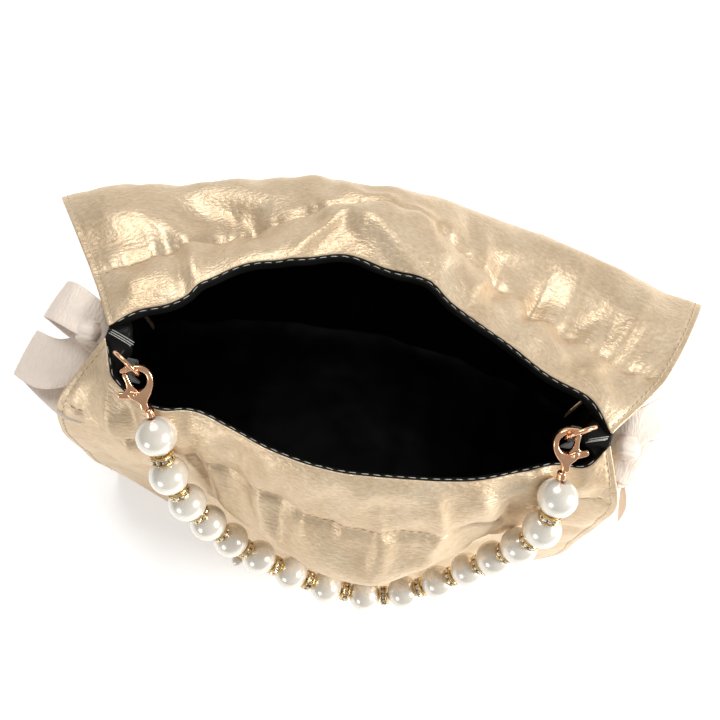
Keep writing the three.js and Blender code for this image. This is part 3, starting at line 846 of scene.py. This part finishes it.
def add_ribbon(name, pairs, body, nodes=()):
    """A ribbon through pairs of edge points in millimetres, crowned a little across its width."""
    control = np.array(pairs, float)
    track = catmull(control, np.linspace(0, len(pairs) - 1, RIBBON_ALONG))
    w = np.linspace(0, 1, RIBBON_ACROSS)[None, :, None]
    grid = track[:, :1] * (1 - w) + track[:, 1:] * w
    normals = grid_normals(grid, 1)
    grid = grid + normals * RIBBON_CROWN * np.sin(np.pi * w)
    length = lengths_along(grid[:, RIBBON_ACROSS // 2])
    x, y = np.meshgrid(np.linspace(0, np.linalg.norm(control[0, 1] - control[0, 0]), RIBBON_ACROSS), length)
    piece = add_cloth(name, grid, normals, np.stack([x, y], -1), "ribbon", nodes, body)


KNOT_AT = (98.5, 1.0, 137.0)
KNOT_REACH = (4.6, 4.8, 6.2)


def add_knot(name, side, body):
    """The wrapped knot: a soft pillow of ribbon with pleats round it."""
    middle = np.array(KNOT_AT) * (side, 1, 1)
    rows, columns = 25, 33
    phi = np.linspace(0.02, np.pi - 0.02, rows)[:, None]
    theta = np.linspace(0, 2 * np.pi, columns)[None, :]
    squash = lambda v: np.sign(v) * np.abs(v) ** 0.65
    x = KNOT_REACH[0] * squash(np.sin(phi)) * squash(np.cos(theta))
    z = KNOT_REACH[2] * squash(np.sin(phi)) * squash(np.sin(theta))
    y = KNOT_REACH[1] * squash(np.cos(phi)) * np.ones_like(theta)
    pleat = 1 + 0.05 * np.sin(9 * phi) + 0.03 * value_noise(theta * 2, phi * 3, 5)
    grid = middle + np.stack([x * pleat, y, z * pleat], -1)
    uvs = np.stack(np.meshgrid(np.linspace(0, 34, columns), np.linspace(0, 14, rows)), -1)
    add_cloth(name, grid, grid_normals(grid, 1), uvs, "thin ribbon", [], body)


LEFT_UPPER = [[(-93, -3, 139), (-91, 9, 139)], [(-100, -2, 142.5), (-98, 13, 142.5)],
              [(-110, 1, 143), (-106, 16.5, 143)], [(-115.4, 2.5, 140.5), (-111, 17.5, 140.5)],
              [(-114.6, 2.2, 138), (-110.4, 17, 138)], [(-106, -2, 136), (-102, 13, 136.5)],
              [(-94, -7, 135.5), (-91, 6, 135.5)]]
LEFT_LOWER = [[(-95, -12, 132), (-92, 2, 135)], [(-102, -19, 133), (-101, 0, 136)],
              [(-113, -22, 133), (-110, -3, 135)], [(-123, -18.5, 131.5), (-119.5, -1, 132.5)],
              [(-122.5, -18.5, 129), (-119, -1.5, 130)], [(-112, -25, 128), (-109, -6, 130)],
              [(-102, -30, 126), (-99, -12, 130)], [(-95, -30, 124), (-93, -14, 129)]]
RIGHT_UPPER = [[(92, -2, 139), (92, 10, 139.5)], [(99, 0, 141.5), (97, 13, 142)],
               [(107, 6, 141.5), (104, 18.5, 141.5)], [(111.5, 10, 139.5), (109, 22.5, 139.5)],
               [(111, 9.5, 137.5), (108.5, 22, 137.5)], [(104, 3, 136.5), (101, 15.5, 136.5)],
               [(94, -4, 135.5), (92, 8, 135.5)]]
RIGHT_LOWER = [[(93, -8, 134), (94, 4, 136)], [(99, -12, 135.5), (102, 4, 137.5)],
               [(104, -11.5, 135), (110, 7, 137)], [(107, -9.5, 133), (113.5, 8.5, 134.5)],
               [(106.5, -9.5, 131), (113, 8, 132)], [(100, -13, 131), (103, 3, 132)],
               [(93, -10, 130), (93, 2, 131)]]


TAIL_TOP = 134.5
TAIL_LINE = [(98, TAIL_TOP), (104, 124), (112, 108), (118.5, 92), (122.5, 78)]


def tail_pairs(side, lean, spread, drop):
    """Edge points of a tail that hangs over the side by so much, and leans to the front or back."""
    line = TAIL_LINE + [(124.5, TAIL_TOP - drop)]
    pairs = []
    for k, (x, z) in enumerate(line):
        t = k / (len(line) - 1)
        centre_y = 1 + lean * t
        half = 4.5 + 5.0 * min(1, t * 2.2)
        pairs.append([(side * (x + spread * t), centre_y - half, z), (side * (x + spread * t), centre_y + half, z)])
    return pairs


def add_bow(label, side, loops, body):
    for k, (part, pairs) in enumerate(loops):
        add_ribbon(f"{label}_bow_{part}_loop", pairs, body, [f"{label}_bow"] if k == 0 else [])
    add_knot(f"{label}_bow_knot", side, body)
    add_ribbon(f"{label}_bow_front_tail", tail_pairs(side, -9, 0.8, 66), body)
    add_ribbon(f"{label}_bow_back_tail", tail_pairs(side, 8, -1.2, 70), body)


add_bow("left", -1, (("upper", LEFT_UPPER), ("lower", LEFT_LOWER)), "left_bow")
add_bow("right", 1, (("upper", RIGHT_UPPER), ("lower", RIGHT_LOWER)), "right_bow")

# ---- drawstring inside the casings


def add_drawstring(label, panel):
    ys = np.array([6.0, 10.0, 15.0, 20.0, 24.0])
    us = np.linspace(0.08, 0.92, 90)
    grid = np.stack([panel.at((us - 0.5) * panel.width, np.full(90, y), -1.25)[0] for y in ys])
    x, y = np.meshgrid(us * panel.width, ys)
    add_cloth(f"{label}_drawstring", grid, grid_normals(grid, panel.outward), np.stack([y, x], -1), "thin ribbon",
              [f"{label}_ribbon"])


for label, panel in PANELS.items():
    add_drawstring(label, panel)

# ---- pearls, rondelles and cable


def centre(name):
    low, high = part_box(name)
    return (low + high) / 2


def turned(place, direction, spin=0.0):
    return (Matrix.Translation(place) @ Vector(direction).to_track_quat("Z", "Y").to_matrix().to_4x4()
            @ Matrix.Rotation(spin, 4, "Z"))


def share_mesh(name, data, matrix, body, nodes):
    made = placed(name, data)
    made.matrix_world = matrix
    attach(made, body)
    if nodes:
        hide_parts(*nodes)
    return made


def template(name, parts, materials, flat=()):
    """Mesh data joined from parts, one material each; the parts named in flat keep their facets."""
    vertices, faces = merge(parts)
    made = add_mesh(name, vertices, faces, materials[0], None)
    for material in materials[1:]:
        made.data.materials.append(material)
    start = 0
    for k, (_, part_faces) in enumerate(parts):
        for polygon in made.data.polygons[start:start + len(part_faces)]:
            polygon.material_index = min(k, len(materials) - 1)
            polygon.use_smooth = k not in flat
        start += len(part_faces)
    faces_out(made)
    data = made.data
    bpy.data.objects.remove(made)
    return data


PEARL_COUNT = 16
PEARL_RADIUS = 7.0 * MM
BORE = 0.75 * MM


def pearl_profile(radius, bore, steps=26):
    reach = math.acos(bore / radius)
    arc = [(radius * math.cos(a), radius * math.sin(a)) for a in np.linspace(-reach, reach, steps)]
    return arc + [(bore * 0.9, arc[-1][1] - 0.2 * MM), (bore * 0.9, arc[0][1] + 0.2 * MM)]


def stone(radius, height):
    """A cut stone facing +X: table, crown and point."""
    rings = [(0.55, height), (1.0, height * 0.45), (0.5, -height * 0.6)]
    vertices = [(h, radius * r * math.cos(k * math.pi / 4 + 0.4), radius * r * math.sin(k * math.pi / 4 + 0.4))
                for r, h in rings for k in range(8)]
    faces = [tuple(range(8))[::-1], tuple(range(16, 24))]
    for ring in range(2):
        low = ring * 8
        faces += [(low + k, low + (k + 1) % 8, low + 8 + (k + 1) % 8, low + 8 + k) for k in range(8)]
    return vertices, faces


def rondelle_data():
    bore, waist, rim, half = 1.4 * MM, 2.9 * MM, 4.15 * MM, 1.5 * MM
    core = lathe([(bore, -half), (waist, -half * 0.6), (waist, half * 0.6), (bore, half)], 24)
    parts = []
    for side in (-1, 1):
        scallops, teeth = [], 40
        for k in range(teeth):
            angle = 2 * math.pi * k / teeth
            reach = rim * (1 + 0.03 * math.cos(angle * 10))
            for r, z in ((bore, 0.62), (reach * 0.86, 0.52), (reach, 0.72), (reach * 0.97, 1.0), (bore, 1.0)):
                scallops.append((r * math.cos(angle), r * math.sin(angle), side * z * half))
        parts.append((scallops, ring_faces(5, teeth)))
    gems = []
    for k in range(10):
        angle = 2 * math.pi * k / 10
        vertices, faces = stone(0.95 * MM, 0.75 * MM)
        turn = Matrix.Rotation(angle, 4, "Z") @ Matrix.Translation((3.35 * MM, 0, 0))
        gems.append(([tuple(turn @ Vector(v)) for v in vertices], faces))
    return template("rondelle", [merge([core] + parts), merge(gems)], [CUP_GOLD, STONE], flat=(1,))


def add_beads():
    pearl = template("pearl", [lathe(pearl_profile(PEARL_RADIUS, BORE), 48)], [PEARL])
    rondelle = rondelle_data()
    names = ["left_crimp"] + [f"pearl_{i}" for i in range(1, PEARL_COUNT + 1)] + ["right_crimp"]
    chain = [centre(name) for name in names]
    random = np.random.RandomState(3)
    for i in range(1, PEARL_COUNT + 1):
        direction = (chain[i + 1] - chain[i]).normalized() + (chain[i] - chain[i - 1]).normalized()
        share_mesh(f"strand_pearl_{i:02d}", pearl, turned(chain[i], direction, random.uniform(0, 6.28)),
                   "handle", [f"pearl_{i}"])
        if i < PEARL_COUNT:
            share_mesh(f"strand_rondelle_{i:02d}", rondelle,
                       turned(centre(f"rondelle_{i}"), chain[i + 1] - chain[i], random.uniform(0, 6.28)),
                       "handle", [f"rondelle_{i}"])
    points = catmull(np.array([list(p) for p in chain]), np.linspace(0, len(chain) - 1, 160))
    cable = add_mesh("strand_cable", *tube(points, 0.38 * MM, 8), CABLE, "handle")
    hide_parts("strand_wire")


add_beads()


def add_sewn_pearls():
    """Small pearls sewn on the front's lower body."""
    small = template("small_pearl", [lathe(pearl_profile(3.3 * MM, 0.4 * MM, 18), 32)], [PEARL])
    tiny = template("tiny_pearl", [lathe(pearl_profile(2.6 * MM, 0.4 * MM, 18), 32)], [PEARL])
    for k, (x, y) in enumerate(((21, 117), (-34.5, 131), (-10, 107), (48, 120), (-60, 130), (74, 126))):
        data, lift = (tiny, 2.3) if k == 1 else (small, 3.0)
        place, normal = FRONT.at([x], [y], lift)
        share_mesh(f"sewn_pearl_{k + 1}", data, turned(Vector(place[0] * MM), normal[0]), "bag", [])


add_sewn_pearls()

# ---- rings and clasps

RING_RADIUS = 5.3
HOOKED_WIRE = (12.3, -0.9, 0)
GATE_PIVOT = (6.0, 1.8, 0)
CLASPS = {
    "left": {"pull": (0.36, -0.76, -0.55), "face": 1, "lean": (0.87, -0.5, 0)},
    "right": {"pull": (0.187, -0.82, -0.55), "face": -1, "lean": (-0.87, -0.5, 0)},
}
HOOK_OUTLINE = [(0, -1.2), (2.6, -1.5), (5.4, -3.5), (8.6, -5), (11.6, -5.2), (14, -4.1), (15.4, -1.8), (15.7, 1.1),
                (15.0, 4.4), (14.1, 4.2), (14.1, 1.3), (13.7, -1.0), (12.6, -2.7), (11.0, -3.3), (9.2, -3),
                (7.4, -1.7), (6.6, 0.4), (7.4, 3.2), (6.4, 4.3), (4.6, 3.5), (2.6, 1.5), (0, 1.2)]
GATE_OUTLINE = [(4.9, 0.8), (6.5, 0.6), (8.8, 1.8), (11.4, 2.4), (13.5, 2.8), (13.4, 4.1), (10.6, 3.9), (8, 4.2),
                (7.3, 5.4), (7.4, 7.2), (5.8, 7.4), (4.9, 5.2), (4.5, 3)]


def smooth_outline(outline):
    loop = np.array([(x, y, 0) for x, y in outline + outline[:4]], float)
    count = len(outline)
    return catmull(loop, np.linspace(1, count + 1, count * 4, endpoint=False))[:, :2]


def add_plate(name, outline, thickness, bevel, matrix, nodes, body):
    """A cast plate with rounded edges, in the clasp's own frame, in millimetres."""
    points = smooth_outline(outline)
    work = bmesh.new()
    ring = [work.verts.new((x * MM, y * MM, -thickness / 2 * MM)) for x, y in points]
    face = work.faces.new(ring)
    grown = bmesh.ops.extrude_face_region(work, geom=[face])
    tops = [v for v in grown["geom"] if isinstance(v, bmesh.types.BMVert)]
    bmesh.ops.translate(work, verts=tops, vec=(0, 0, thickness * MM))
    bmesh.ops.recalc_face_normals(work, faces=work.faces)
    rims = [e for e in work.edges if len(e.link_faces) == 2 and e.calc_face_angle() > 1.2
            and abs(e.verts[0].co.z - e.verts[1].co.z) < 1e-6]
    bmesh.ops.bevel(work, geom=rims, offset=bevel * MM, segments=4, profile=0.5, affect="EDGES")
    data = bpy.data.meshes.new(name)
    work.to_mesh(data)
    work.free()
    data.materials.append(GOLD)
    data.shade_smooth()
    return share_mesh(name, data, matrix, body, nodes)


def clasp_matrix(side):
    """The clasp's frame from its ring, as in the CAD: +X from the crimp to the hook's end."""
    facts = CLASPS[side]
    lean = Vector(facts["lean"]).normalized()
    hooked = centre(f"{side}_ring") + lean * RING_RADIUS * MM
    along = -Vector(facts["pull"]).normalized()
    across = Vector((0, 0, facts["face"])).cross(along).normalized()
    normal = along.cross(across)
    turn = Matrix((along, across, normal)).transposed().to_4x4()
    return Matrix.Translation(hooked) @ turn @ Matrix.Translation(Vector(HOOKED_WIRE) * -MM)


GATE_SLOT = [((3.6 + 5.4 * i) * MM, (-0.4 + 7 * j) * MM, (k - 0.5) * 1.85 * MM)
             for i in (0, 1) for j in (0, 1) for k in (0, 1)]
BOX_FACES = [(0, 1, 3, 2), (4, 6, 7, 5), (0, 4, 5, 1), (2, 3, 7, 6), (0, 2, 6, 4), (1, 5, 7, 3)]
PIN_PROFILE = [(0, -1.62), (0.5, -1.62), (0.62, -1.5), (0.62, 1.5), (0.5, 1.62), (0, 1.62)]
CRIMP_PROFILE = [(0.8, -1.6), (1.3, -1.6), (1.7, -0.9), (1.5, -0.3), (1.65, 0.1), (1.5, 0.4), (1.7, 0.9), (1.3, 1.6),
                 (0.8, 1.6)]


def turned_gold(name, profile, segments):
    return template(name, [lathe([(r * MM, z * MM) for r, z in profile], segments)], [GOLD])


def add_clasp(side):
    """The hook with the slot its gate turns in, the gate, its pin and the crimp behind the hook."""
    matrix = clasp_matrix(side)
    hook = add_plate(f"{side}_hook", HOOK_OUTLINE, 2.8, 0.6, matrix, [f"{side}_clasp_hook"], "handle")
    slot_box = add_mesh("slot", GATE_SLOT, BOX_FACES, GOLD, None, smooth=False)
    slot_box.matrix_world = matrix
    modifier(hook, "BOOLEAN", operation="DIFFERENCE", object=slot_box, solver="EXACT")
    bpy.context.view_layer.update()
    cut = bpy.data.meshes.new_from_object(hook.evaluated_get(bpy.context.evaluated_depsgraph_get()))
    hook.modifiers.clear()
    hook.data = cut
    bpy.data.objects.remove(slot_box)
    add_plate(f"{side}_gate", GATE_OUTLINE, 1.5, 0.45, matrix, [f"{side}_clasp_gate"], f"{side}_gate")
    pin = turned_gold(f"{side}_pin", PIN_PROFILE, 20)
    share_mesh(f"{side}_rivet", pin, matrix @ Matrix.Translation(Vector(GATE_PIVOT) * MM), "handle",
               [f"{side}_clasp_pin"])
    crimp = turned_gold(f"{side}_crimp_bead", CRIMP_PROFILE, 28)
    share_mesh(f"{side}_crimp_bead", crimp, turned(centre(f"{side}_crimp"), CLASPS[side]["pull"]), "handle",
               [f"{side}_crimp"])


def add_ring(side):
    lean = Vector(CLASPS[side]["lean"]).normalized()
    middle = centre(f"{side}_ring")
    points = [list(middle + RING_RADIUS * MM * (math.cos(a) * lean + math.sin(a) * Vector((0, 0, 1))))
              for a in np.linspace(0, 2 * math.pi, 64, endpoint=False)]
    ring = add_mesh(f"{side}_wire_ring", *tube(points, 0.68 * MM, 14, closed=True), GOLD, "handle")
    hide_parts(f"{side}_ring")


for clasp_side in ("left", "right"):
    add_clasp(clasp_side)
    add_ring(clasp_side)

# ---- carried-over CAD nodes


def paint(names, material):
    for name in names:
        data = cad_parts[name].data
        data.materials.clear()
        data.materials.append(material)


paint(["base_panel"], SATIN)
paint(["base_board"], BOARD)
paint(["left_tab", "right_tab"], BLACK_TAPE)

# ---- studio


def add_floor():
    size = 3.0
    floor = add_mesh("studio_floor", [(-size, -size, 0), (size, -size, 0), (size, size, 0), (-size, size, 0)],
                     [(0, 1, 2, 3)], floor_paint(), None)


def add_light(name, direction, distance, size, power):
    data = bpy.data.lights.new(name, "AREA")
    data.shape = "RECTANGLE"
    data.size, data.size_y = size
    data.energy = power
    holder = placed(name, data)
    away = Vector(direction).normalized()
    holder.matrix_world = (Matrix.Translation(Vector((0, 0, 0.1)) + away * distance)
                           @ away.to_track_quat("Z", "Y").to_matrix().to_4x4())


def light_world(strength):
    world = bpy.data.worlds.new("studio")
    world.use_nodes = True
    background = world.node_tree.nodes["Background"]
    background.inputs["Color"].default_value = (1, 1, 1, 1)
    background.inputs["Strength"].default_value = strength
    bpy.context.scene.world = world


add_floor()
add_light("right_softbox", (0.893, -0.064, 0.444), 0.9, (0.3, 0.3), 8)
add_light("front_softbox", (-0.466, -0.830, 0.306), 0.9, (0.2, 0.2), 1.4)
add_light("top_softbox", (-0.3, 0.55, 0.78), 1.1, (0.5, 0.45), 5.2)
light_world(0.42)
bpy.context.scene.view_settings.view_transform = "Standard"
